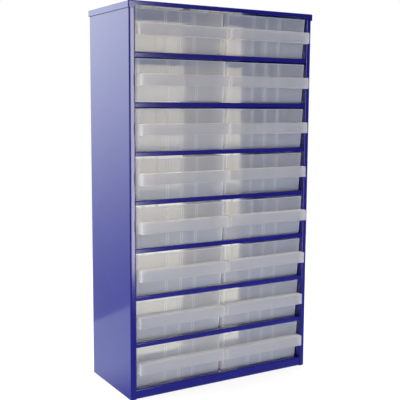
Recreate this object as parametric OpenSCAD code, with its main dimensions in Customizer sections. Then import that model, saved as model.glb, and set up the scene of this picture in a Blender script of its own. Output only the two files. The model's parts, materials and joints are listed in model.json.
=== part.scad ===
// Parts bin cabinet: a folded steel carcass with moulded drawers that slide out one by one.
// Millimetres. +Z is up, the front faces -Y, and the origin is on the floor under the middle of the
// whole object with its drawers as they stand.

/* [Cabinet] */
// Number of drawer rows
rows = 8; // [2:1:8]
// Thickness of the steel sheet
sheet_t = 0.8; // [0.6:0.1:1.2]
// Height of the base from the floor to the surface that carries the bottom row
base_h = 14; // [8:0.5:30]
// Height of the front lip under each shelf
lip_h = 6.5; // [4:0.5:10]
// Radius of the sheet's folds, measured outside
fold_r = 1.8; // [1.3:0.1:3]

/* [Side panels] */
// Width of the rolled flange down each front edge
flange_w = 9; // [7:0.5:14]
// Radius of the flange's shallow face, which leans back towards its outer edge
flange_face_r = 30; // [20:1:60]
// Radius of the flange's two edges
flange_edge_r = 1.6; // [1.3:0.1:2.2]
// Depth of the leg that returns inwards from the flange
flange_return = 10; // [6:1:20]
// Width of the fold down each rear edge, which stops the drawers; the back is open between the two
rear_fold_w = 37; // [26:1:60]

/* [Lid] */
// How far the lid stands proud of the body, all round
lid_overhang = 1.5; // [1.2:0.1:3]
// Height of the lid's side and rear rims
lid_rim_h = 10; // [8:0.5:16]
// Radius of the lid's corners and top edges
lid_r = 2; // [1.3:0.1:3]

/* [Shelves] */
// How far the lip's face lies behind the foremost line of the flanges
lip_setback = 1.2; // [0.6:0.1:3]
// Fitting gap between the edge of a shelf or the base and the sheet beside it
edge_gap = 0.2; // [0.1:0.1:1]
// Depth of the side flanges that hold a shelf to the side panels
shelf_flange_h = 6; // [3:0.5:6.5]
// Depth of the flange down a shelf's rear edge, which hides the gap over the drawers' rims
shelf_rear_h = 10; // [6:0.5:20]
// Width of the pressed ridges that guide the drawers
ridge_w = 3; // [2:0.5:4]
// Height of the pressed ridges
ridge_h = 3; // [1.5:0.5:4]
// Running clearance between a ridge and the foot of a drawer
ridge_gap = 0.5; // [0.3:0.1:1]
// Distance from the flange's return leg back to where the ridges start
ridge_start = 5; // [1:1:30]
// Width of the folds along the floor under the base
foot_fold_w = 12; // [6:1:20]

/* [Wall fixing] */
// Radius of the four screw holes in the rear folds
screw_hole_r = 2.25; // [1.5:0.25:3]
// Distance from a side panel's outer face to the middle of its screw holes
screw_inset = 18; // [10:0.5:22]
// Height of the screw holes above the sheet that carries their row, where the drawers lean away from them
screw_rise = 8; // [5:0.5:20]
// Row behind which the upper holes lie, counted from the top; the lower ones lie behind the last row
screw_row_high = 2; // [1:1:6]

/* [Drawers] */
// Width across the rim
drawer_w = 142.4; // [100:0.4:180]
// Height from the foot to the rim
drawer_h = 58; // [40:1:80]
// Length along the rim, front wall to rear wall
drawer_l = 128.8; // [90:1:180]
// Wall thickness
wall_t = 1.6; // [1.2:0.1:2.2]
// Floor thickness
floor_t = 1.8; // [1.2:0.1:2.5]
// How far each side wall leans in from the rim to the foot
side_draft = 1.4; // [0.5:0.1:3]
// How far the front wall leans back from the rim to the foot
front_draft = 3.7; // [1:0.1:6]
// How far the rear wall leans forward from the rim to the foot
rear_draft = 1.4; // [0.5:0.1:3]
// Radius of the upright corners
corner_r = 4; // [2.5:0.5:6]
// Size of the bevel round the foot
foot_bevel = 1.6; // [1:0.1:2.5]
// Distance from the flange's foremost line back to the rim when the drawer is shut
drawer_setback = 5.8; // [3:0.2:10]
// Gap between a drawer's foot and the sheet it slides on
slide_gap = 0.3; // [0.2:0.1:0.5]
// Gap between a drawer's rim and the flange beside it
side_gap = 0.8; // [0.5:0.1:2]
// Gap between the rims of the two columns
column_gap = 1.6; // [1:0.1:4]
// Gap between a drawer's rim and the lip above it
rim_gap = 2.45; // [1.5:0.05:6]
// Gap that is left behind a drawer when it is pushed fully home
stop_gap = 0.4; // [0.2:0.1:2]

/* [Pull] */
// Height of the pull's face, which also carries the label
pull_h = 16; // [10:0.5:22]
// Height of the pull's lower edge above the drawer's foot
pull_z = 21.7; // [12:0.1:30]
// How far the pull's face stands forward of the rim
pull_reach = 12.5; // [9:0.5:18]
// How much shorter the pull is than the rim, at each end
pull_inset = 1.9; // [0:0.1:6]
// Thickness of the pull's face, top and ends
pull_t = 1.5; // [1:0.1:2.5]

/* [Divider ribs] */
// Distance from one divider place to the next
rib_pitch = 23; // [14:0.5:30]
// Number of divider places
rib_places = 3; // [1:1:5]
// Gap between the two ribs of a pair
rib_slot = 1.8; // [1.2:0.1:3]
// Thickness of a rib
rib_t = 1.2; // [0.8:0.1:2]
// How far a rib stands in from the wall
rib_depth = 2; // [1:0.5:4]
// How far the ribs stop below the rim
rib_top_gap = 1.5; // [0:0.5:6]

/* [As it stands] */
// How far each left drawer stands out, top row first
left_out = [1, 8, 8, 8.5, 8, 5, 0.5, 0]; // [0:0.5:12]
// How far each right drawer stands out, top row first
right_out = [4.5, 5, 4.5, 2.5, 5.5, 3, 0, 1]; // [0:0.5:12]

/* [Hidden] */

steel_blue = "#1f1c7d";
milky = [0.78, 0.79, 0.8, 0.75];

eps = 0.02;        // how far a cutter passes through a face
least_r = 0.1;     // smallest radius inside a bend
arc_steps = 6;     // straight steps along a fold
hull_fn = 32;      // sides of the rounded corners that hull() joins
hole_fn = 48;

// Across
opening_w = 2 * drawer_w + column_gap + 2 * side_gap;
cabinet_w = opening_w + 2 * flange_w;
inner_w = cabinet_w - 2 * sheet_t;
column_x = (drawer_w + column_gap) / 2;

// Up
row_pitch = slide_gap + drawer_h + rim_gap + lip_h;
cabinet_h = base_h + rows * row_pitch;
function shelf_z(row) = cabinet_h - row * row_pitch;   // surface that carries a row

// Back, from the foremost line of the flanges
back_inner = drawer_setback + drawer_l + stop_gap;
body_d = back_inner + 2 * sheet_t;
shelf_wide_y = flange_return + edge_gap;               // where a shelf widens behind the flanges
shelf_d = back_inner - edge_gap - shelf_wide_y;        // depth of that wide part
shelf_rear_w = cabinet_w - 2 * fold_r;                 // clears the round inside of the rear corners

// The whole object reaches from the foremost pull to the rim of the lid
pull_front = drawer_setback - pull_reach;
front_reach = max([for (row = [0 : rows - 1]) max(left_out[row], right_out[row])]) - pull_front;
flange_y = (front_reach - body_d - lid_overhang) / 2;

// A flange is one shallow arc with a small arc at each edge, which touches it smoothly. It faces straight
// ahead where the inner edge's arc begins, and has turned by edge_a where the outer edge's arc begins.
edge_a = asin((flange_w - 2 * flange_edge_r) / (flange_face_r - flange_edge_r));
edge_cy = flange_face_r - (flange_face_r - flange_edge_r) * cos(edge_a);

// Points along an arc from angle a to angle b, less as many at each end as the next stretch gives
function arc(cx, cy, r, a, b, trim = 0) = [
    for (i = [trim : arc_steps - trim])
        let (t = a + (b - a) * i / arc_steps) [cx + r * cos(t), cy + r * sin(t)]
];

function reversed(path) = [for (i = [len(path) - 1 : -1 : 0]) path[i]];

// A folded sheet seen from its end: the outer path, then the inner path back
module folded(outer, inner) {
    polygon(concat(outer, reversed(inner)));
}

// Draws in the cabinet's own depth, with y = 0 at the foremost line of the flanges
module in_cabinet() {
    translate([0, flange_y, 0]) children();
}

// Extrudes a profile drawn in depth (x) and height (y) across the cabinet
module across(width) {
    translate([-width / 2, 0, 0]) rotate([90, 0, 90]) linear_extrude(width) children();
}

// ---- Carcass ----

// Path of a side panel seen from above, a distance in from its outer face
function side_path(inset) = concat(
    [[flange_w - inset, flange_return]],
    arc(flange_w - flange_edge_r, flange_edge_r, flange_edge_r - inset, 0, -90),
    arc(flange_w - flange_edge_r, flange_face_r, flange_face_r - inset, -90, -90 - edge_a, 1),
    arc(flange_edge_r, edge_cy, flange_edge_r - inset, -90 - edge_a, -180),
    arc(fold_r, body_d - fold_r, fold_r - inset, 180, 90),
    [[rear_fold_w, body_d - inset]]
);

module left_side_panel() {
    color(steel_blue) in_cabinet() translate([-cabinet_w / 2, 0, 0]) difference() {
        linear_extrude(cabinet_h - sheet_t) folded(side_path(0), side_path(sheet_t));
        for (row = [screw_row_high, rows])
            translate([screw_inset, body_d - sheet_t - eps, shelf_z(row) + screw_rise])
                rotate([-90, 0, 0]) cylinder(h = sheet_t + 2 * eps, r = screw_hole_r, $fn = hole_fn);
    }
}

module right_side_panel() {
    mirror([1, 0, 0]) left_side_panel();
}

// Three ridges that keep each column of drawers in line, at a given height
module ridges(z) {
    foot_x = drawer_w / 2 - side_draft;                // half the width of a drawer's foot
    outer_x = column_x + foot_x + ridge_gap;
    side_w = min(ridge_w, opening_w / 2 + flange_w - sheet_t - outer_x);
    centre_w = min(ridge_w, 2 * (column_x - foot_x - ridge_gap));
    start_y = flange_return + ridge_start;
    for (place = [[-outer_x - side_w, side_w], [-centre_w / 2, centre_w], [outer_x, side_w]])
        translate([place[0], start_y, z - sheet_t / 2])
            cube([place[1], back_inner - edge_gap - start_y, ridge_h + sheet_t / 2]);
}

// Path of a shelf's lip and the sheet behind it, a distance in from the outer face
function lip_path(inset, top) = concat(
    [[lip_setback + inset, top - lip_h]],
    arc(lip_setback + fold_r, top - fold_r, fold_r - inset, 180, 90),
    [[shelf_wide_y + eps, top - inset]]
);

// Path of a shelf's rear flange, which lies against the inside of the side panels' rear folds
function rear_path(inset, top) = concat(
    [[back_inner - fold_r, top - inset]],
    arc(back_inner + sheet_t - fold_r, top - fold_r, fold_r - inset, 90, 0),
    [[back_inner + sheet_t - inset, top - shelf_rear_h]]
);

module shelf(row) {
    top = shelf_z(row);
    color(steel_blue) in_cabinet() {
        across(opening_w - 2 * edge_gap) folded(lip_path(0, top), lip_path(sheet_t, top));
        across(shelf_rear_w) folded(rear_path(0, top), rear_path(sheet_t, top));
        translate([-inner_w / 2, shelf_wide_y, top - sheet_t]) cube([inner_w, shelf_d, sheet_t]);
        for (x = [-inner_w / 2, inner_w / 2 - sheet_t])
            translate([x, shelf_wide_y, top - shelf_flange_h]) cube([sheet_t, shelf_d, shelf_flange_h]);
        ridges(top);
    }
}

// Path of the base from the fold on the floor, up the front skirt and back
function skirt_path(inset) = concat(
    [[lip_setback + foot_fold_w, inset]],
    arc(lip_setback + fold_r, fold_r, fold_r - inset, 270, 180),
    arc(lip_setback + fold_r, base_h - fold_r, fold_r - inset, 180, 90),
    [[shelf_wide_y + eps, base_h - inset]]
);

// Path of the base's rear wall from its deck down to the floor, and the fold along the floor
function base_rear_path(inset) = concat(
    [[back_inner - fold_r, base_h - inset]],
    arc(back_inner + sheet_t - fold_r, base_h - fold_r, fold_r - inset, 90, 0),
    arc(back_inner + sheet_t - fold_r, fold_r, fold_r - inset, 0, -90),
    [[back_inner + sheet_t - foot_fold_w, inset]]
);

module base_panel() {
    color(steel_blue) in_cabinet() {
        across(opening_w - 2 * edge_gap) folded(skirt_path(0), skirt_path(sheet_t));
        across(shelf_rear_w) folded(base_rear_path(0), base_rear_path(sheet_t));
        translate([-inner_w / 2, shelf_wide_y, base_h - sheet_t]) cube([inner_w, shelf_d, sheet_t]);
        for (x = [-inner_w / 2, inner_w / 2 - sheet_t])
            translate([x, shelf_wide_y, 0]) cube([sheet_t, shelf_d, base_h]);
        for (x = [-inner_w / 2, inner_w / 2 - foot_fold_w])
            translate([x, shelf_wide_y, 0]) cube([foot_fold_w, shelf_d, sheet_t]);
        ridges(base_h);
    }
}

// A block rounded along its top edges and upright corners, standing on z = 0.
// The slim post in each corner carries the flat top to its full height.
module rounded_cap(width, depth, height, r) {
    hull() for (x = [r, width - r], y = [r, depth - r]) translate([x, y, 0]) {
        cylinder(h = height - r, r = r, $fn = hull_fn);
        translate([0, 0, height - r]) sphere(r = r, $fn = hull_fn);
        cylinder(h = height, r = r / 8, $fn = hull_fn / 4);
    }
}

module top_lid() {
    width = cabinet_w + 2 * lid_overhang;
    depth = body_d + 2 * lid_overhang;
    corner_w = lid_overhang + flange_w;                // the full rim wraps round over each flange
    inner_r = max(min(lid_r, lid_overhang) - sheet_t, least_r);    // clears the body's top edges
    color(steel_blue) in_cabinet()
        translate([-width / 2, -lid_overhang, cabinet_h - lid_rim_h]) difference() {
            rounded_cap(width, depth, lid_rim_h, lid_r);
            translate([sheet_t, sheet_t, -sheet_t])
                rounded_cap(width - 2 * sheet_t, depth - 2 * sheet_t, lid_rim_h, inner_r);
            // The front rim is as low as a shelf's lip between the two corners
            translate([corner_w, -eps, -eps])
                cube([width - 2 * corner_w, lid_overhang + lid_r, lid_rim_h - lip_h + eps]);
        }
}

// ---- Drawers ----

// One level of the tray's outline with its round corners, set in from the outside at that height.
// The rings are full size at z and taper on the side that the hull covers.
module tray_level(z, inset, taper = -1) {
    lean = (drawer_h - z) / drawer_h;
    r = max(corner_r - inset, 0.5);
    x = drawer_w / 2 - side_draft * lean - inset - r;
    front = front_draft * lean + inset + r;
    rear = drawer_l - rear_draft * lean - inset - r;
    for (px = [-x, x], py = [front, rear])
        translate([px, py, z]) mirror([0, 0, (1 - taper) / 2])
            cylinder(h = eps, r1 = r, r2 = r - eps, $fn = hull_fn);
}

module tray_shell() {
    difference() {
        hull() {
            tray_level(0, foot_bevel, 1);
            tray_level(foot_bevel, 0);
            tray_level(drawer_h, 0);
        }
        hull() {
            tray_level(floor_t, wall_t + foot_bevel, 1);
            tray_level(floor_t + foot_bevel, wall_t);
            tray_level(drawer_h + eps, wall_t);
        }
    }
}

// Upright ribs in pairs along the inside of one wall, each pair taking the edge of a divider
module rib_pairs(depth) {
    top = drawer_h - rib_top_gap;
    for (place = [0 : rib_places - 1], side = [-1, 1])
        translate([(place - (rib_places - 1) / 2) * rib_pitch + side * (rib_slot + rib_t) / 2 - rib_t / 2, 0, 0])
            rotate([90, 0, 90]) linear_extrude(rib_t)
                polygon([
                    [depth[0], floor_t / 2], [depth[1], floor_t / 2],
                    [depth[3], top], [depth[2], top]
                ]);
}

// The pull hangs from its top along the front wall and is closed at both ends
module pull() {
    width = drawer_w - 2 * pull_inset;
    top = pull_z + pull_h;
    wall_y = front_draft * (drawer_h - top) / drawer_h + wall_t / 2;
    low_wall_y = front_draft * (drawer_h - pull_z) / drawer_h + wall_t / 2;
    translate([-width / 2, -pull_reach, pull_z]) cube([width, pull_t, pull_h]);
    translate([-width / 2, -pull_reach, top - pull_t]) cube([width, pull_reach + wall_y, pull_t]);
    for (x = [-width / 2, width / 2 - pull_t])
        translate([x, 0, 0]) rotate([90, 0, 90]) linear_extrude(pull_t)
            polygon([[-pull_reach, pull_z], [low_wall_y, pull_z], [wall_y, top], [-pull_reach, top]]);
}

// A drawer with its foot on z = 0 and its rim's front at y = 0
module drawer() {
    wall_lean = floor_t / 2 / drawer_h;
    low_front = front_draft * (1 - wall_lean) + wall_t / 2;
    high_front = front_draft * rib_top_gap / drawer_h + wall_t / 2;
    low_rear = drawer_l - rear_draft * (1 - wall_lean) - wall_t / 2;
    high_rear = drawer_l - rear_draft * rib_top_gap / drawer_h - wall_t / 2;
    reach = wall_t / 2 + rib_depth;
    color(milky) {
        tray_shell();
        pull();
        rib_pairs([low_front, low_front + reach, high_front, high_front + reach]);
        rib_pairs([low_rear - reach, low_rear, high_rear - reach, high_rear]);
    }
}

module placed_drawer(column, row, out) {
    in_cabinet()
        translate([column * column_x, drawer_setback - out, shelf_z(row) + slide_gap]) drawer();
}

left_side_panel();
right_side_panel();
base_panel();
top_lid();
for (row = [1 : rows - 1])
    shelf(row);
for (row = [1 : rows]) {
    placed_drawer(-1, row, left_out[row - 1]);
    placed_drawer(1, row, right_out[row - 1]);
}
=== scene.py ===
import json
import math

import bmesh
import bpy
from mathutils import Matrix, Vector


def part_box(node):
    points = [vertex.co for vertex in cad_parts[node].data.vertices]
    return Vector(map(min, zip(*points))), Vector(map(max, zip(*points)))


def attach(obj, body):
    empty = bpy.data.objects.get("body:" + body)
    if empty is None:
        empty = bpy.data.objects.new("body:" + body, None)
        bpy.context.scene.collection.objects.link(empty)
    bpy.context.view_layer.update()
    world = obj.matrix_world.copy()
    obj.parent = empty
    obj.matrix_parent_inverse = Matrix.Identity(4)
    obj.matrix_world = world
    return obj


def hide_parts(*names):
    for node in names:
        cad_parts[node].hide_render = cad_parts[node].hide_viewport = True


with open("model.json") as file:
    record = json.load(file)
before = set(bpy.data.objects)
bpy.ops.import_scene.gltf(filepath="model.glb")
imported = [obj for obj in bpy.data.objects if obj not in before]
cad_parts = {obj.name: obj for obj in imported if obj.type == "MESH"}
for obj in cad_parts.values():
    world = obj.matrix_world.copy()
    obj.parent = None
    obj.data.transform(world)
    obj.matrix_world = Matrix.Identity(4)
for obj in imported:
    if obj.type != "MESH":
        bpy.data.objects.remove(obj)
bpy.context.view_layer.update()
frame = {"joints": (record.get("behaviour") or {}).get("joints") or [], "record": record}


# ---- Side panels ----
# Each side is one sheet of 0.8 mm steel: a rolled flange down the front edge that leans back outwards and
# returns inwards, and a wide fold down the rear edge with two screw holes, by which the cabinet hangs on a
# wall. The back is open between the two folds. The powder coat is a glossy ultramarine, faintly rippled.
MM = 0.001
sheet_t = 0.8 * MM
fold_r = 1.8 * MM
fold_steps = 10
flange_w = 9 * MM
flange_face_r = 30 * MM
flange_edge_r = 1.6 * MM
flange_return = 10 * MM
rear_fold_w = 37 * MM
screw_hole_r = 2.25 * MM
screw_hole_points = 40
cut_edge_r = 0.12 * MM
cut_edge_turn = math.radians(50)
crease = math.radians(28)
same_point = 0.002 * MM
same_plane = math.radians(0.5)

coat_dark = (0.0080, 0.0074, 0.1550, 1)
coat_light = (0.0090, 0.0082, 0.1650, 1)
coat_ior = 1.55
coat_roughness = 0.09
coat_roughness_spread = 0.04
coat_clouds_per_m = 16
coat_cloud_edges = (0.3, 0.7)
peel_per_m = 520
peel_depth = 0.003 * MM
buckles_per_m = 7
buckle_depth = 0.15 * MM


class Socket:
    """A value in a material or world. Sums on it add Math nodes to the same node tree."""

    def __init__(self, tree, output=None):
        self.tree = tree
        self.output = output

    def node(self, kind, settings=None, inputs=None, output=0):
        """Adds a node of any other kind: first its settings, then the values or links of its inputs."""
        made = self.tree.nodes.new(kind)
        for name, value in (settings or {}).items():
            setattr(made, name, value)
        for name, value in (inputs or {}).items():
            if isinstance(value, Socket):
                self.tree.links.new(value.output, made.inputs[name])
            else:
                made.inputs[name].default_value = value
        return Socket(self.tree, made.outputs[output] if made.outputs else None)

    def also(self, name):
        """Another output of the node that this value comes from."""
        return Socket(self.tree, self.output.node.outputs[name])

    def math(self, operation, *values):
        return self.node("ShaderNodeMath", {"operation": operation}, dict(enumerate(values)))

    def __add__(self, other):
        return self.math("ADD", self, other)

    def __sub__(self, other):
        return self.math("SUBTRACT", self, other)

    def __rsub__(self, other):
        return self.math("SUBTRACT", other, self)

    def __mul__(self, other):
        return self.math("MULTIPLY", self, other)

    __radd__ = __add__
    __rmul__ = __mul__

    def larger(self, other):
        return self.math("MAXIMUM", self, other)

    def between(self, low, high):
        """0 below low, 1 above high, and a smooth step in between. High may be the lower of the two."""
        return self.node("ShaderNodeMapRange", {"interpolation_type": "SMOOTHSTEP"},
                         {"Value": self, "From Min": low, "From Max": high})

    def noise(self, place, scale, detail):
        return self.node("ShaderNodeTexNoise", {}, {"Vector": place, "Scale": scale, "Detail": detail})

    def colour(self, factor, first, second):
        """A mix of two colours."""
        return self.node("ShaderNodeMix", {"data_type": "RGBA"}, {0: factor, 6: first, 7: second}, output=2)

    def bump(self, height, depth, over=None):
        """A normal for a relief that many metres deep, on top of another one."""
        inputs = {"Height": height, "Distance": depth, "Strength": 1}
        if over is not None:
            inputs["Normal"] = over
        return self.node("ShaderNodeBump", {}, inputs)

    def mixed(self, factor, first, second):
        """Two shaders: the first where the factor is 0, the second where it is 1."""
        return self.node("ShaderNodeMixShader", {}, {0: factor, 1: first, 2: second})

    def emission(self, strength, tint=(1, 1, 1, 1)):
        return self.node("ShaderNodeEmission", {}, {"Color": tint, "Strength": strength})

    def surface(self, shader):
        self.node("ShaderNodeOutputMaterial", {}, {"Surface": shader})


def new_finish(name):
    """A new material and the socket that adds nodes to it."""
    material = bpy.data.materials.new(name)
    material.use_nodes = True
    material.node_tree.nodes.clear()
    return material, Socket(material.node_tree)


def powder_coat():
    """Gloss paint with a fine orange peel over the slow waves of thin sheet."""
    material, paint = new_finish("ultramarine_powder_coat")
    place = paint.node("ShaderNodeTexCoord", output="Object")
    cloud = paint.noise(place, coat_clouds_per_m, detail=3)
    peel = paint.noise(place, peel_per_m, detail=1)
    buckle = paint.noise(place, buckles_per_m, detail=1)
    paint.surface(paint.node("ShaderNodeBsdfPrincipled", {}, {
        "Base Color": paint.colour(cloud.between(*coat_cloud_edges), coat_dark, coat_light),
        "Roughness": coat_roughness + coat_roughness_spread * cloud,
        "IOR": coat_ior,
        "Normal": paint.bump(peel, peel_depth, paint.bump(buckle, buckle_depth)),
    }))
    return material


blue_steel = powder_coat()


def arc(cx, cy, radius, start, end, steps=fold_steps):
    """Points along an arc from one angle to another, in degrees."""
    turns = [math.radians(start + (end - start) * i / steps) for i in range(steps + 1)]
    return [(cx + radius * math.cos(turn), cy + radius * math.sin(turn)) for turn in turns]


def run_along(axis, outer, inner, start, end):
    """A folded sheet: the paths of its two faces, drawn across an axis and run along it."""
    form = bmesh.new()
    spot = {
        "x": lambda a, b, s: (s, a, b),
        "y": lambda a, b, s: (a, s, b),
        "z": lambda a, b, s: (a, b, s),
    }[axis]
    rows = [[form.verts.new(spot(a, b, s)) for a, b in path]
            for path in (outer, inner) for s in (start, end)]
    outer_near, outer_far, inner_near, inner_far = rows
    faces = [(outer_near, outer_far), (inner_near, inner_far)]
    cut_ends = [(outer_near, inner_near), (outer_far, inner_far)]
    for one, other in faces + cut_ends:
        for i in range(len(one) - 1):
            form.faces.new((one[i], one[i + 1], other[i + 1], other[i]))
    for tip in (0, -1):
        form.faces.new((outer_near[tip], outer_far[tip], inner_far[tip], inner_near[tip]))
    bmesh.ops.recalc_face_normals(form, faces=form.faces)
    return form


def combine(operation, first, *others):
    """One closed form out of several: UNION joins the others to the first, DIFFERENCE cuts them out."""
    objects = []
    for form in (first, *others):
        mesh = bpy.data.meshes.new("part")
        form.to_mesh(mesh)
        form.free()
        objects.append(bpy.data.objects.new("part", mesh))
        bpy.context.scene.collection.objects.link(objects[-1])
    for other in objects[1:]:
        step = objects[0].modifiers.new("step", "BOOLEAN")
        step.operation = operation
        step.solver = "MANIFOLD"
        step.object = other
    result = bmesh.new()
    result.from_object(objects[0], bpy.context.evaluated_depsgraph_get())
    for used in objects:
        mesh = used.data
        bpy.data.objects.remove(used)
        bpy.data.meshes.remove(mesh)
    bmesh.ops.remove_doubles(result, verts=result.verts, dist=same_point)
    bmesh.ops.dissolve_limit(result, angle_limit=same_plane, verts=result.verts, edges=result.edges)
    return result


def smooth_mesh(name, form, finish):
    """The mesh of a form: smooth over its bends and sharp at its creases, in one finish."""
    for face in form.faces:
        face.smooth = True
    for edge in form.edges:
        edge.smooth = edge.is_manifold and edge.calc_face_angle() < crease
    mesh = bpy.data.meshes.new(name)
    form.to_mesh(mesh)
    form.free()
    mesh.materials.append(finish)
    return mesh


def place_piece(name, mesh, place, body, node, cut_edges=0):
    """A piece that rides on a body and stands for one CAD node, its sharp edges softened by a radius."""
    piece = bpy.data.objects.new(name, mesh)
    piece.location = place
    bpy.context.scene.collection.objects.link(piece)
    if cut_edges:
        worn = piece.modifiers.new("cut_edges", "BEVEL")
        worn.width = cut_edges
        worn.segments = 2
        worn.limit_method = "ANGLE"
        worn.angle_limit = cut_edge_turn
    normals = piece.modifiers.new("flats_stay_flat", "WEIGHTED_NORMAL")
    normals.keep_sharp = True
    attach(piece, body)
    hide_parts(node)


def steel_piece(name, form, node):
    """One painted sheet of the carcass."""
    mesh = smooth_mesh(name, form, blue_steel)
    place_piece(name, mesh, (0, 0, 0), "cabinet", node, cut_edge_r)


edge_angle = math.degrees(math.asin((flange_w - 2 * flange_edge_r) / (flange_face_r - flange_edge_r)))
edge_cy = flange_face_r - (flange_face_r - flange_edge_r) * math.cos(math.radians(edge_angle))


def side_path(inset, corner, side, depth):
    """The path of a side panel seen from above, a distance in from its outer face."""
    path = (
        [(flange_w - inset, flange_return)]
        + arc(flange_w - flange_edge_r, flange_edge_r, flange_edge_r - inset, 0, -90)
        + arc(flange_w - flange_edge_r, flange_face_r, flange_face_r - inset, -90, -90 - edge_angle)[1:-1]
        + arc(flange_edge_r, edge_cy, flange_edge_r - inset, -90 - edge_angle, -180)
        + arc(fold_r, depth - fold_r, fold_r - inset, 180, 90)
        + [(rear_fold_w, depth - inset)]
    )
    return [(corner.x + side * a, corner.y + b) for a, b in path]


def drill(x, z, radius, y_low, y_high):
    """A round cutter through a sheet that stands across Y."""
    form = bmesh.new()
    turn = Matrix.Translation((x, (y_low + y_high) / 2, z)) @ Matrix.Rotation(math.pi / 2, 4, "X")
    bmesh.ops.create_cone(form, cap_ends=True, segments=screw_hole_points, radius1=radius, radius2=radius,
                          depth=y_high - y_low, matrix=turn)
    return form


wall_screws = next(mount for mount in frame["record"]["mounts"] if mount["name"] == "wall_screws")
screw_x = wall_screws["dims"]["spacing_x_mm"] / 2 * MM
screw_z = [wall_screws["pos_m"][2] + up * wall_screws["dims"]["spacing_y_mm"] / 2 * MM for up in (-1, 1)]
for node, side in (("left_side_panel", 1), ("right_side_panel", -1)):
    low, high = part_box(node)
    outer_corner = Vector((low.x if side > 0 else high.x, low.y, 0))
    paths = [side_path(inset, outer_corner, side, high.y - low.y) for inset in (0, sheet_t)]
    through = (high.y - 2 * sheet_t, high.y + sheet_t)
    holes = [drill(-side * screw_x, z, screw_hole_r, *through) for z in screw_z]
    sheet = combine("DIFFERENCE", run_along("z", *paths, low.z, high.z), *holes)
    steel_piece(node.replace("_panel", "_sheet"), sheet, node)


# ---- Shelves ----
# Seven like pressings, one under each row but the last: a deck with its front edge folded down to a lip, a
# flange down each side for the spot welds and a deeper one down the rear, and three rounded ridges pressed
# up that keep the drawers in their columns.
shelf_count = 7
lip_setback = 1.2 * MM
lip_h = 6.5 * MM
lip_lap = 2 * sheet_t
edge_gap = 0.2 * MM
shelf_flange_h = 6 * MM
shelf_rear_h = 10 * MM
side_fold_r = 1.2 * MM
ridge_w = 3 * MM
centre_ridge_w = 3 * MM
ridge_h = 3 * MM
ridge_start = 15 * MM
ridge_side_gap = 0.7 * MM
ridge_crown_steps = 8
ridge_nose_turns = (8, 25, 45, 65, 90)


def lip_path(inset, top, back):
    """The front of a shelf seen from the side: up its lip and back along the deck."""
    return (
        [(lip_setback + inset, top - lip_h)]
        + arc(lip_setback + fold_r, top - fold_r, fold_r - inset, 180, 90)
        + [(back, top - inset)]
    )


def rear_path(inset, top, back):
    """The rear of a shelf seen from the side: along the deck and down its flange."""
    return (
        [(back - sheet_t - fold_r, top - inset)]
        + arc(back - fold_r, top - fold_r, fold_r - inset, 90, 0)
        + [(back - inset, top - shelf_rear_h)]
    )


def deck_path(inset, half_w, top, bottom):
    """The deck seen from the front: up one side flange, across, and down the other."""
    left = [(-half_w + inset, bottom)]
    left += arc(side_fold_r - half_w, top - side_fold_r, side_fold_r - inset, 180, 90)
    return left + [(-x, z) for x, z in reversed(left)]


def skin(form, rings):
    """Joins each ring of points to the next, and closes the two ends."""
    for one, other in zip(rings, rings[1:]):
        for i in range(len(one)):
            form.faces.new((one[i - 1], one[i], other[i], other[i - 1]))
    form.faces.new(rings[0])
    form.faces.new(rings[-1])
    bmesh.ops.recalc_face_normals(form, faces=form.faces)


def ridge(x, width, y_front, y_back, deck):
    """A rounded ridge whose front end slopes up like the end of a pressed bead."""
    form = bmesh.new()
    nose = [math.radians(turn) for turn in ridge_nose_turns]
    stations = [(y_front + ridge_h * (1 - math.cos(turn)), math.sin(turn)) for turn in nose] + [(y_back, 1)]
    rings = []
    for y, share in stations:
        radius = share * width / 2
        crown = arc(x, deck + share * (ridge_h - width / 2), radius, 0, 180, ridge_crown_steps)
        foot = [(x - radius, deck - sheet_t / 2), (x + radius, deck - sheet_t / 2)]
        rings.append([form.verts.new((a, y, b)) for a, b in crown + foot])
    skin(form, rings)
    return form


panel_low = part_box("left_side_panel")[0]
front_y = panel_low.y
half_opening = -(panel_low.x + flange_w) - edge_gap
half_rear = -(panel_low.x + fold_r)
wide_y = front_y + flange_return + edge_gap


def fold_across(path, half_w, *sizes):
    """A fold that runs across the cabinet, from its path at the outer face and at the inner face."""
    faces = [[(front_y + a, b) for a, b in path(inset, *sizes)] for inset in (0, sheet_t)]
    return run_along("x", *faces, -half_w, half_w)


def ridges(top, low, high, y_back):
    """The three ridges that shelves and base share."""
    places = [(low.x + sheet_t + ridge_w / 2 + ridge_side_gap, ridge_w), (0, centre_ridge_w),
              (high.x - sheet_t - ridge_w / 2 - ridge_side_gap, ridge_w)]
    return [ridge(x, width, front_y + ridge_start, y_back, top) for x, width in places]


def shelf_form(top, low, high):
    """A whole shelf: the deck between its side flanges, the lip, the rear flange and the ridges."""
    wide_end = high.y - sheet_t - edge_gap
    lip = fold_across(lip_path, half_opening, top, wide_y - front_y + lip_lap)
    rear = fold_across(rear_path, half_rear, top, high.y - front_y)
    paths = [deck_path(inset, high.x, top, top - shelf_flange_h) for inset in (0, sheet_t)]
    deck = run_along("y", *paths, wide_y, wide_end)
    return combine("UNION", deck, lip, rear, *ridges(top, low, high, wide_end))


for row in range(1, shelf_count + 1):
    low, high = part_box(f"shelf_{row}")
    steel_piece(f"shelf_pressing_{row}", shelf_form(low.z + shelf_rear_h, low, high), f"shelf_{row}")


# ---- Base ----
# The bottom pressing carries the last row. Its skirt drops to the floor in front, and the sides, the rear
# and the skirt are folded inwards along the floor, so that the cabinet stands on a flat frame of steel.
base_h = 14 * MM
foot_fold_w = 12 * MM


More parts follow.
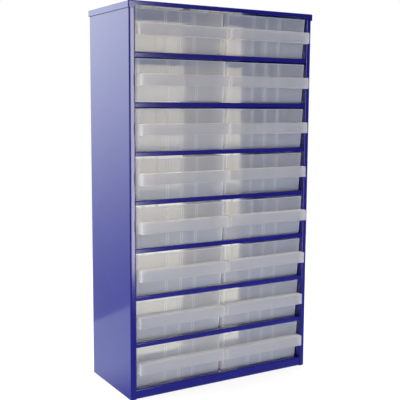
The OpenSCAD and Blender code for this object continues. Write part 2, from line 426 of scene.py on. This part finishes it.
def skirt_path(inset, back):
    """The front of the base seen from the side: its fold along the floor, up the skirt and back."""
    return (
        [(lip_setback + foot_fold_w, inset)]
        + arc(lip_setback + fold_r, fold_r, fold_r - inset, 270, 180)
        + arc(lip_setback + fold_r, base_h - fold_r, fold_r - inset, 180, 90)
        + [(back, base_h - inset)]
    )


def base_rear_path(inset, back):
    """The rear of the base seen from the side: along the deck, down, and forward along the floor."""
    return (
        [(back - sheet_t - fold_r, base_h - inset)]
        + arc(back - fold_r, base_h - fold_r, fold_r - inset, 90, 0)
        + arc(back - fold_r, fold_r, fold_r - inset, 0, -90)
        + [(back - foot_fold_w, inset)]
    )


def base_deck_path(inset, half_w):
    """The base seen from the front: in along the floor, up one side, across, and down the other."""
    side = (
        [(foot_fold_w - half_w, inset)]
        + arc(side_fold_r - half_w, side_fold_r, side_fold_r - inset, 270, 180)
        + arc(side_fold_r - half_w, base_h - side_fold_r, side_fold_r - inset, 180, 90)
    )
    return side + [(-x, z) for x, z in reversed(side)]


low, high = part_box("base_panel")
wide_end = high.y - sheet_t - edge_gap
skirt = fold_across(skirt_path, half_opening, wide_y - front_y + lip_lap)
rear = fold_across(base_rear_path, half_rear, high.y - front_y)
deck = run_along("y", *[base_deck_path(inset, high.x) for inset in (0, sheet_t)], wide_y, wide_end)
base = combine("UNION", deck, skirt, rear, *ridges(base_h, low, high, wide_end))
steel_piece("base_pressing", base, "base_panel")


# ---- Lid ----
# A shallow pressed cap over the carcass, its rims 10 mm deep at the sides and rear. In front the rim is
# only as deep as a shelf's lip, except where each side rim wraps round over the flange below it.
lid_r = 2 * MM
lid_overhang = 1.5 * MM
lid_inner_r = lid_overhang - sheet_t
lid_least_r = 0.03 * MM
lid_inner_turns = range(90, -1, -15)
lid_outer_turns = range(0, 91, 9)
corner_steps = 8


def block(low, high):
    """A plain rectangular block, as a form to cut others with."""
    form = bmesh.new()
    bmesh.ops.create_cube(form, size=1)
    size = [b - a for a, b in zip(low, high)]
    middle = [(a + b) / 2 for a, b in zip(low, high)]
    shape = Matrix.Translation(middle) @ Matrix.Diagonal((*size, 1))
    bmesh.ops.transform(form, matrix=shape, verts=form.verts)
    return form


def rounded_ring(form, x_low, x_high, y_low, y_high, radius, z):
    """A level ring of points round a rectangle with round corners."""
    corners = [(x_high - radius, y_low + radius, -90), (x_high - radius, y_high - radius, 0),
               (x_low + radius, y_high - radius, 90), (x_low + radius, y_low + radius, 180)]
    return [form.verts.new((x, y, z)) for cx, cy, start in corners
            for x, y in arc(cx, cy, radius, start, start + 90, corner_steps)]


def lid_shell(low, high):
    """The cap as one skin: down inside it, round the edge of the rim, and up over the outside."""
    form = bmesh.new()
    rings = []
    for inset, radius, top, turns in (
        (sheet_t, lid_inner_r, high.z - sheet_t, lid_inner_turns),
        (0, lid_r, high.z, lid_outer_turns),
    ):
        levels = [(top - radius + radius * math.sin(math.radians(turn)),
                   radius - radius * math.cos(math.radians(turn))) for turn in turns]
        levels.insert(len(levels) if inset else 0, (low.z, 0))
        for z, lean in levels:
            edge = inset + lean
            rings.append(rounded_ring(form, low.x + edge, high.x - edge, low.y + edge, high.y - edge,
                                      max(radius - lean, lid_least_r), z))
    skin(form, rings)
    return form


low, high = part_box("top_lid")
wrap_x = low.x + lid_overhang + flange_w
notch_low = (wrap_x, low.y - lid_r, low.z - lid_r)
notch_high = (-wrap_x, low.y + lid_overhang + lid_r, high.z - lip_h)
lid = combine("DIFFERENCE", lid_shell(low, high), block(notch_low, notch_high))
steel_piece("lid_pressing", lid, "top_lid")


# ---- Drawers ----
# Sixteen like trays moulded in one shot of milky polypropylene, walls 1.6 mm, drafted on all four sides to
# leave the mould. Across the front hangs a full-width pull, open below and closed at both ends, whose
# face also takes a label. Pairs of ribs inside hold the edges of dividers.
drawer_h = 58 * MM
wall_t = 1.6 * MM
floor_t = 1.8 * MM
side_draft = 1.4 * MM
front_draft = 3.7 * MM
rear_draft = 1.4 * MM
corner_r = 4 * MM
least_corner_r = 0.5 * MM
foot_bevel = 1.6 * MM
rim_r = 0.55 * MM
wall_levels = (0.25, 0.5, 0.75)
round_turns = range(0, 91, 15)
soft_edge_steps = 4

pull_h = 16 * MM
pull_z = 21.7 * MM
pull_reach = 12.5 * MM
pull_inset = 1.9 * MM
pull_t = 1.5 * MM
pull_edge_r = 0.9 * MM

rib_pitch = 23 * MM
rib_places = (-1, 0, 1)
rib_slot = 1.8 * MM
rib_t = 1.2 * MM
rib_depth = 2 * MM
rib_top_gap = 1.5 * MM
rib_edge_r = 0.35 * MM

# The milk's whiteness is the plastic's own. Its blue cast, in the tray colour and in the glow, is painted
# light: it stands in for the blue light that the steel bounces onto the trays inside the cabinet.
tray_milk_with_painted_blue_bounce = (0.68, 0.745, 1.0, 1)
# The pull is the same plastic as the tray. Its darker, bluer colour is painted shade that dims the pull.
pull_milk_painted_shade = (0.49, 0.505, 0.67, 1)
milk_glow = (0.93, 0.942, 1.0, 1)
milk_clear = (0.965, 0.93, 0.83, 1)
milk_ior = 1.5
milk_roughness = 0.06
milk_roughness_spread = 0.04
glow_share = 0.62
haze = 0.35
haze_spread = 0.04
thick_haze = 0.40
slant_haze = 0.35
slant_power = 4
pull_thick = 0.18
rim_thick = 0.5
corner_thick = 0.3
rib_thick = 0.18
clouds_per_m = 22
grain_per_m = 900
grain_depth = 0.002 * MM
sinks_per_m = 26
sink_depth = 0.08 * MM

low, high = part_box("drawer_left_1")
drawer_w = high.x - low.x
drawer_l = high.y - low.y - pull_reach
pull_edges = (0.2 * MM, -0.2 * MM)
rim_edges = (drawer_h - 1.6 * MM, drawer_h - 0.6 * MM)
corner_edges = (drawer_w / 2 - 5.5 * MM, drawer_w / 2 - 3.5 * MM)
corner_back_edges = (9 * MM, 5 * MM)
rib_edges = (0.9 * MM, 0.6 * MM)
rib_last_edges = (1.5 * rib_pitch, 1.4 * rib_pitch)
rib_back_edges = (9 * MM, 8 * MM)
rib_front_edges = (-2 * MM, 0)


def milky_plastic():
    """Part clear, part milky: milkier where the real wall is thick, and where it is seen at a slant."""
    material, plastic = new_finish("milky_polypropylene")
    place = plastic.node("ShaderNodeTexCoord", output="Object")
    split = plastic.node("ShaderNodeSeparateXYZ", {}, {"Vector": place}, output="X")
    along, up = split.also("Y"), split.also("Z")
    across = plastic.math("ABSOLUTE", split)
    cloud = plastic.noise(place, clouds_per_m, detail=2)
    grain = plastic.noise(place, grain_per_m, detail=1)
    sink = plastic.noise(place, sinks_per_m, detail=1)

    pull = along.between(*pull_edges)
    rim = up.between(*rim_edges)
    corner = across.between(*corner_edges) * along.between(*corner_back_edges)
    from_pair = plastic.math("PINGPONG", across, rib_pitch / 2)
    from_rib = plastic.math("ABSOLUTE", from_pair - (rib_slot + rib_t) / 2)
    ribs = from_rib.between(*rib_edges) * across.between(*rib_last_edges)
    ribs = ribs * along.between(*rib_back_edges) * along.between(*rib_front_edges)
    thick = (pull_thick * pull).larger(rim_thick * rim)
    thick = thick.larger(corner_thick * corner).larger(rib_thick * ribs)
    facing = plastic.node("ShaderNodeLayerWeight", {}, {"Blend": 0.5}, output="Facing")
    slant = plastic.math("POWER", facing, slant_power)
    opaque = haze + haze_spread * cloud + thick_haze * thick + slant_haze * slant

    relief = plastic.bump(grain, grain_depth, plastic.bump(sink, sink_depth))
    shell = plastic.node("ShaderNodeBsdfPrincipled", {}, {
        # The pull gets the darker colour, which is painted shade. Both colours carry a painted blue cast of
        # bounce light.
        "Base Color": plastic.colour(pull, tray_milk_with_painted_blue_bounce, pull_milk_painted_shade),
        "Roughness": milk_roughness + milk_roughness_spread * cloud,
        "IOR": milk_ior,
        "Normal": relief,
    })
    glow = plastic.node("ShaderNodeBsdfTranslucent", {}, {"Color": milk_glow, "Normal": relief})
    clear = plastic.node("ShaderNodeBsdfTransparent", {}, {"Color": milk_clear})
    plastic.surface(plastic.mixed(opaque, clear, plastic.mixed(glow_share, shell, glow)))
    return material


def tray_ring(form, z, inset):
    """The tray's outline at a height, a distance in from its outer face there."""
    lean = (drawer_h - z) / drawer_h
    half_w = drawer_w / 2 - side_draft * lean - inset
    return rounded_ring(form, -half_w, half_w, front_draft * lean + inset,
                        drawer_l - rear_draft * lean - inset, max(corner_r - inset, least_corner_r), z)


def tray_shell():
    """The tray as one skin: from under the floor, up the outside, over the rim and down the inside."""
    form = bmesh.new()
    turns = [math.radians(turn) for turn in round_turns]
    rounds =[(1 - math.cos(turn), 1 - math.sin(turn)) for turn in turns]
    levels = [(foot_bevel * a, foot_bevel * b) for a, b in rounds]
    levels += [(drawer_h * share, 0) for share in wall_levels]
    levels += [(drawer_h - rim_r * b, rim_r * a) for a, b in rounds]
    levels += [(drawer_h - rim_r * a, wall_t - rim_r * b) for a, b in rounds]
    levels += [(drawer_h * share, wall_t) for share in reversed(wall_levels)]
    levels += [(floor_t + foot_bevel * b, wall_t + foot_bevel * a) for a, b in rounds]
    skin(form, [tray_ring(form, z, inset) for z, inset in levels])
    return form


def mid_wall(z, draft):
    """How far in from the rim's face the middle of a drafted wall lies, at a height."""
    return draft * (drawer_h - z) / drawer_h + wall_t / 2


def prism(outline, x_low, x_high):
    """An outline drawn in depth and height, run across."""
    form = bmesh.new()
    skin(form, [[form.verts.new((x, y, z)) for y, z in outline] for x in (x_low, x_high)])
    return form


def soften(form, radius, wanted):
    """Rounds the edges of a form that a test picks by their two ends."""
    edges = [edge for edge in form.edges if wanted(*[end.co for end in edge.verts])]
    bmesh.ops.bevel(form, geom=edges, offset=radius, segments=soft_edge_steps, profile=0.5, affect="EDGES")
    return form


def pull_form():
    """The pull: a block across the front wall, round at its face and its top ends, and hollow from below."""
    half_w = drawer_w / 2 - pull_inset
    top = pull_z + pull_h
    wall_top, wall_low = mid_wall(top, front_draft), mid_wall(pull_z, front_draft)
    outline = [(-pull_reach, pull_z), (wall_low, pull_z), (wall_top, top), (-pull_reach, top)]

    def at_face_or_top_end(a, b):
        return max(a.y, b.y) < 0 or (min(a.z, b.z) > top - pull_edge_r and a.x == b.x)

    outside = soften(prism(outline, -half_w, half_w), pull_edge_r, at_face_or_top_end)
    face_y = pull_t - pull_reach
    low_z = pull_z - pull_t
    outline = [(face_y, low_z), (wall_low + wall_t, low_z), (wall_top + wall_t, top - pull_t),
               (face_y, top - pull_t)]
    return combine("DIFFERENCE", outside, prism(outline, pull_t - half_w, half_w - pull_t))


def rib(x, rear):
    """One rib on the inside of the front or the rear wall, its inner edge rounded."""
    top = drawer_h - rib_top_gap
    bottom = floor_t / 2
    reach = wall_t / 2 + rib_depth
    if rear:
        root = [drawer_l - mid_wall(z, rear_draft) for z in (bottom, top)]
        reach = -reach
    else:
        root = [mid_wall(z, front_draft) for z in (bottom, top)]
    inner = [root[0] + reach, root[1] + reach]
    outline = [(root[0], bottom), (inner[0], bottom), (inner[1], top), (root[1], top)]

    def on_inner_face(a, b):
        return all(min(abs(end.y - y) for y in inner) < same_point for end in (a, b))

    return soften(prism(outline, x - rib_t / 2, x + rib_t / 2), rib_edge_r, on_inner_face)


ribs = [rib(place * rib_pitch + side * (rib_slot + rib_t) / 2, rear)
        for rear in (False, True) for place in rib_places for side in (-1, 1)]
tray = combine("UNION", tray_shell(), pull_form(), *ribs)
tray_mesh = smooth_mesh("drawer_moulding", tray, milky_plastic())
for joint in frame["joints"]:
    node = joint["child"]
    low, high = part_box(node)
    place = ((low.x + high.x) / 2, low.y + pull_reach, low.z)
    place_piece(node.replace("drawer", "tray"), tray_mesh, place, node, node)


# ---- Studio ----
# A white table whose rear left corner is cut off, in a white room that is bright beside and behind the
# cabinet and dark in front of it. One tall soft box stands there, a little to the right, and a soft lamp
# lights the cabinet from the left.
table_outline = [(-1.4, 1.045), (-0.371, 0.402), (-0.259, 0.332), (0.0, 0.9), (1.5, 0.9), (1.5, -0.65),
                 (-1.4, -0.65)]
table_white = (0.92, 0.92, 0.92, 1)
table_shown = (0.16, 0.16, 0.16, 1)
table_lift = 0.88
table_sheen_tint = (0.97, 1.06, 1.0, 1)
table_sheen_front = 0.18
table_sheen_back = 1.05
table_sheen_edges = (-0.1, 0.1)
table_bounce = 0.9
bounce_front_edges = (-0.30, -0.12)
bounce_back_edges = (-0.04, -0.06)
bounce_left_edges = (-0.18, -0.13)
box_turn_left = math.radians(3)
box_turn_right = math.radians(23.4)
box_rise_low = math.radians(-14.5)
box_rise_high = math.radians(30)
box_seen_from_z = 0.3
box_far = 4.0
box_radiance = 8.5
left_lamp_place = (-2.0, 0.5, 1.5)
left_lamp_target = (0, 0, 0.25)
left_lamp_size = 1.2
left_lamp_watts = 35
room_low = 0.53
room_high = 3.1
room_dark = 0.06
room_dark_edges = (1.75, 1.35)
room_rise_edges = (-0.27, 0.19)
room_tint = (0.99, 1.06, 0.97, 1)
plain_white = (1, 1, 1, 1)


def white_table():
    """White to the camera, with the cabinet's shadow. Gloss shows it darker, and it lights the base."""
    material, top = new_finish("white_table")
    place = top.node("ShaderNodeNewGeometry", output="Position")
    across = top.node("ShaderNodeSeparateXYZ", {}, {"Vector": place}, output="X")
    depth = across.also("Y")
    matt = top.node("ShaderNodeBsdfDiffuse", {}, {"Color": table_white})
    bright = top.node("ShaderNodeAddShader", {}, {0: matt, 1: top.emission(table_bounce)})
    near = depth.between(*bounce_front_edges) * depth.between(*bounce_back_edges)
    bounce = top.mixed(near * across.between(*bounce_left_edges), matt, bright)
    sheen = top.mixed(depth.between(*table_sheen_edges), top.emission(table_sheen_front, table_sheen_tint),
                      top.emission(table_sheen_back, table_sheen_tint))
    shown = top.node("ShaderNodeBsdfDiffuse", {}, {"Color": table_shown})
    pale = top.node("ShaderNodeAddShader", {}, {0: shown, 1: top.emission(table_lift)})
    ray = top.node("ShaderNodeLightPath", output="Is Camera Ray")
    top.surface(top.mixed(ray, top.mixed(ray.also("Is Glossy Ray"), bounce, sheen), pale))
    return material


scene = bpy.context.scene
table_mesh = bpy.data.meshes.new("table")
table_mesh.from_pydata([(x, y, 0) for x, y in table_outline], [], [range(len(table_outline))])
table_mesh.materials.append(white_table())
table = bpy.data.objects.new("table", table_mesh)
scene.collection.objects.link(table)


def soft_light(name, place, target, width, height, watts):
    """A rectangular lamp that faces a target. The camera doesn't see it."""
    data = bpy.data.lights.new(name, "AREA")
    data.shape = "RECTANGLE"
    data.size = width
    data.size_y = height
    data.energy = watts
    light = bpy.data.objects.new(name, data)
    light.location = place
    light.rotation_euler = (Vector(target) - Vector(place)).to_track_quat("-Z", "Y").to_euler()
    light.visible_camera = False
    scene.collection.objects.link(light)
    return light


box_turn = (box_turn_left + box_turn_right) / 2
box_w = 2 * box_far * math.tan((box_turn_right - box_turn_left) / 2)
box_z = [box_seen_from_z + box_far * math.tan(rise) for rise in (box_rise_low, box_rise_high)]
box_h = box_z[1] - box_z[0]
box_place = (box_far * math.sin(box_turn), -box_far * math.cos(box_turn), sum(box_z) / 2)
soft_light("soft_box", box_place, (0, 0, box_place[2]), box_w, box_h, box_radiance * math.pi * box_w * box_h)
left_lamp = soft_light("left_lamp", left_lamp_place, left_lamp_target, left_lamp_size, left_lamp_size,
                       left_lamp_watts)
left_lamp.visible_glossy = False

world = bpy.data.worlds.new("studio")
world.use_nodes = True
world.node_tree.nodes.clear()
world.cycles.sampling_method = "NONE"
scene.world = world
room = Socket(world.node_tree)
way = room.node("ShaderNodeTexCoord", output="Generated")
right = room.node("ShaderNodeSeparateXYZ", {}, {"Vector": way}, output="X")
back, up = right.also("Y"), right.also("Z")
turn = room.math("ARCTAN2", right, 0 - back)
ahead = room.math("ABSOLUTE", turn).between(*room_dark_edges)
shades = ((room_tint, room_low), (room_tint, room_high), (room_tint, room_dark), (plain_white, 1))
lower, upper, front, plain = [
    room.node("ShaderNodeBackground", {}, {"Color": tint, "Strength": strength}) for tint, strength in shades
]
walls = room.mixed(up.between(*room_rise_edges), lower, upper)
ray = room.node("ShaderNodeLightPath", output="Is Camera Ray")
seen = ray.larger(ray.also("Is Transmission Ray"))
sky = room.mixed(seen, room.mixed(ahead, walls, front), plain)
room.node("ShaderNodeOutputWorld", {}, {"Surface": sky})


# ---- Camera ----
# It stands 1.2 m away to the left of the cabinet's front, at three quarters of the cabinet's height, and
# looks a little down. Its lens is long: the focal length is nearly twice the width of the sensor.
camera_place = (-0.5937, -0.99635, 0.4137)
camera_turn = math.radians(30.526)
camera_dip = math.radians(7.093)
camera_roll = math.radians(0.297)
camera_focus = 761.5 / 400
camera_near = 0.05
plastic_layers = 32

forward = Vector((math.sin(camera_turn) * math.cos(camera_dip), math.cos(camera_turn) * math.cos(camera_dip),
                  -math.sin(camera_dip)))
level = Vector((math.cos(camera_turn), -math.sin(camera_turn), 0))
upright = level.cross(forward)
to_right = math.cos(camera_roll) * level + math.sin(camera_roll) * upright
to_top = math.cos(camera_roll) * upright - math.sin(camera_roll) * level
camera_data = bpy.data.cameras.new("camera")
camera_data.lens = camera_focus * camera_data.sensor_width
camera_data.clip_start = camera_near
camera = bpy.data.objects.new("camera", camera_data)
aim = Matrix((to_right, to_top, -forward)).transposed().to_4x4()
camera.matrix_world = Matrix.Translation(camera_place) @ aim
scene.collection.objects.link(camera)
scene.camera = camera
scene.cycles.transparent_max_bounces = plastic_layers
scene.view_settings.view_transform = "Standard"
